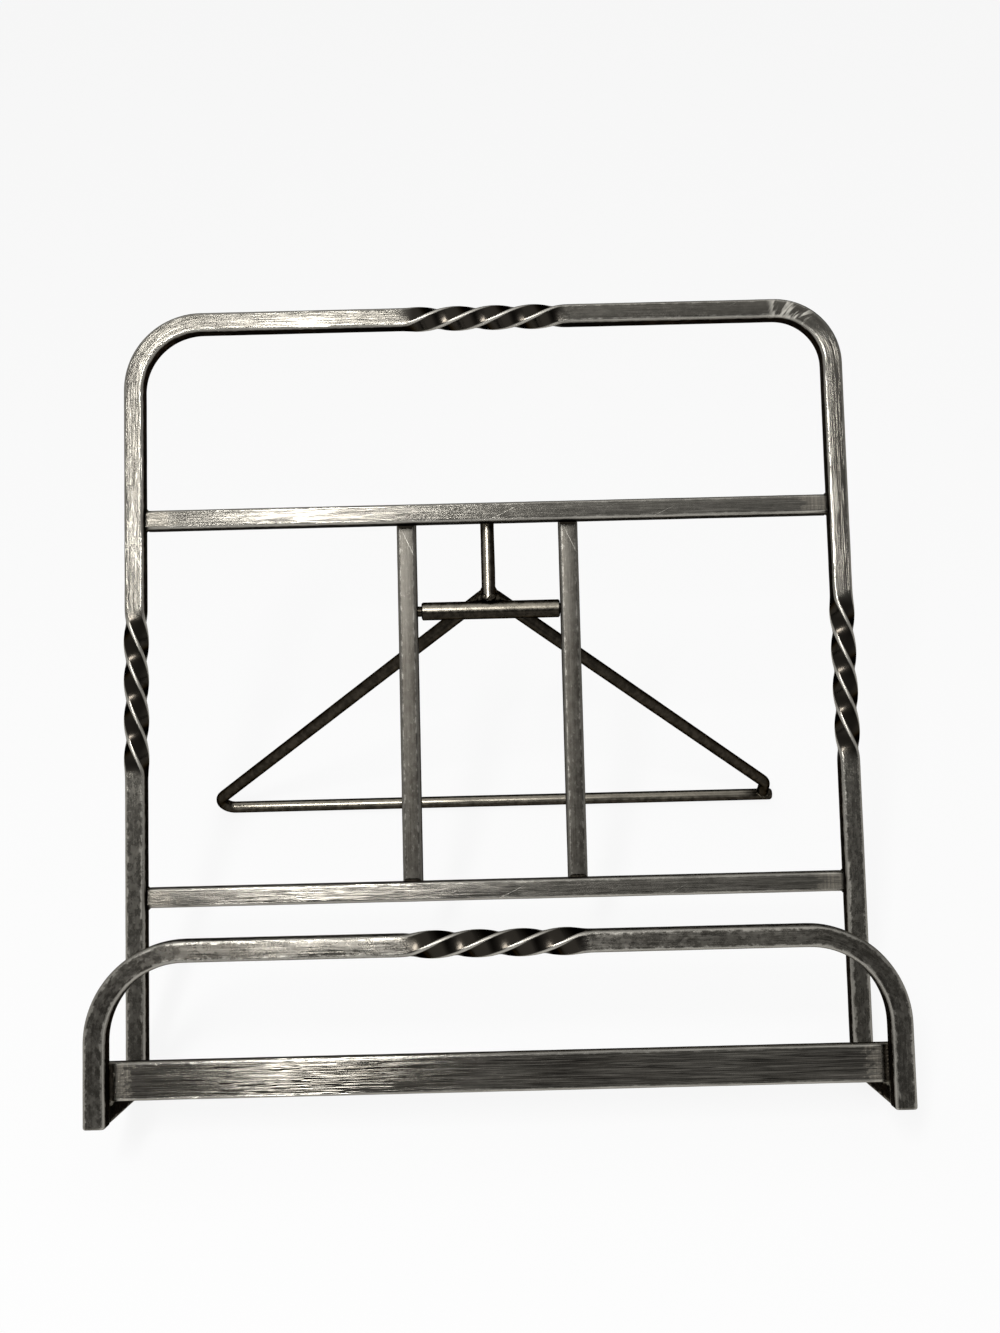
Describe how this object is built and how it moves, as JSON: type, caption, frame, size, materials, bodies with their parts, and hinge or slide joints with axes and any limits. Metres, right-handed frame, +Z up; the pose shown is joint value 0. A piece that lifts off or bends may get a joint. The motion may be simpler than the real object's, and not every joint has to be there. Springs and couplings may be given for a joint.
{
  "type": "cookbook stand",
  "caption": "Leaning cookbook stand of welded square steel bar with rope-twist accents, a book ledge behind a low front hoop, and a fold-out wire leg.",
  "frame": {"origin": "on the table, under the middle of the open stand's box", "axes": "+X to the right seen from the front, +Y to the back, +Z up; the book faces -Y"},
  "size_m": [0.3004, 0.2436, 0.2543],
  "materials": {
    "burnished_bar": "burnished wrought bar with bright worn edges and dark patina",
    "dark_rod": "dark drawn round rod, lightly polished",
    "weld_bead": "ground weld metal, slightly yellowish"
  },
  "bodies": {
    "stand": {"back_hoop": "burnished_bar", "upper_crossbar": "burnished_bar", "lower_crossbar": "burnished_bar", "left_upright": "burnished_bar", "right_upright": "burnished_bar", "front_hoop": "burnished_bar", "left_side_rail": "burnished_bar", "right_side_rail": "burnished_bar", "ledge_bar": "burnished_bar", "crossbar_welds": "weld_bead", "upright_welds": "weld_bead", "rail_welds": "weld_bead", "ledge_welds": "weld_bead"},
    "leg": {"pivot_rod": "dark_rod", "leg_wire": "dark_rod", "stop_rod": "dark_rod", "apex_weld": "weld_bead", "corner_weld": "weld_bead"}
  },
  "joints": [
    {"name": "leg_fold", "type": "hinge", "parent": "stand", "child": "leg", "pos_m": [0, 0.05162, 0.1457], "axis": [-1, 0, 0], "range_deg": [0, 54]}
  ]
}
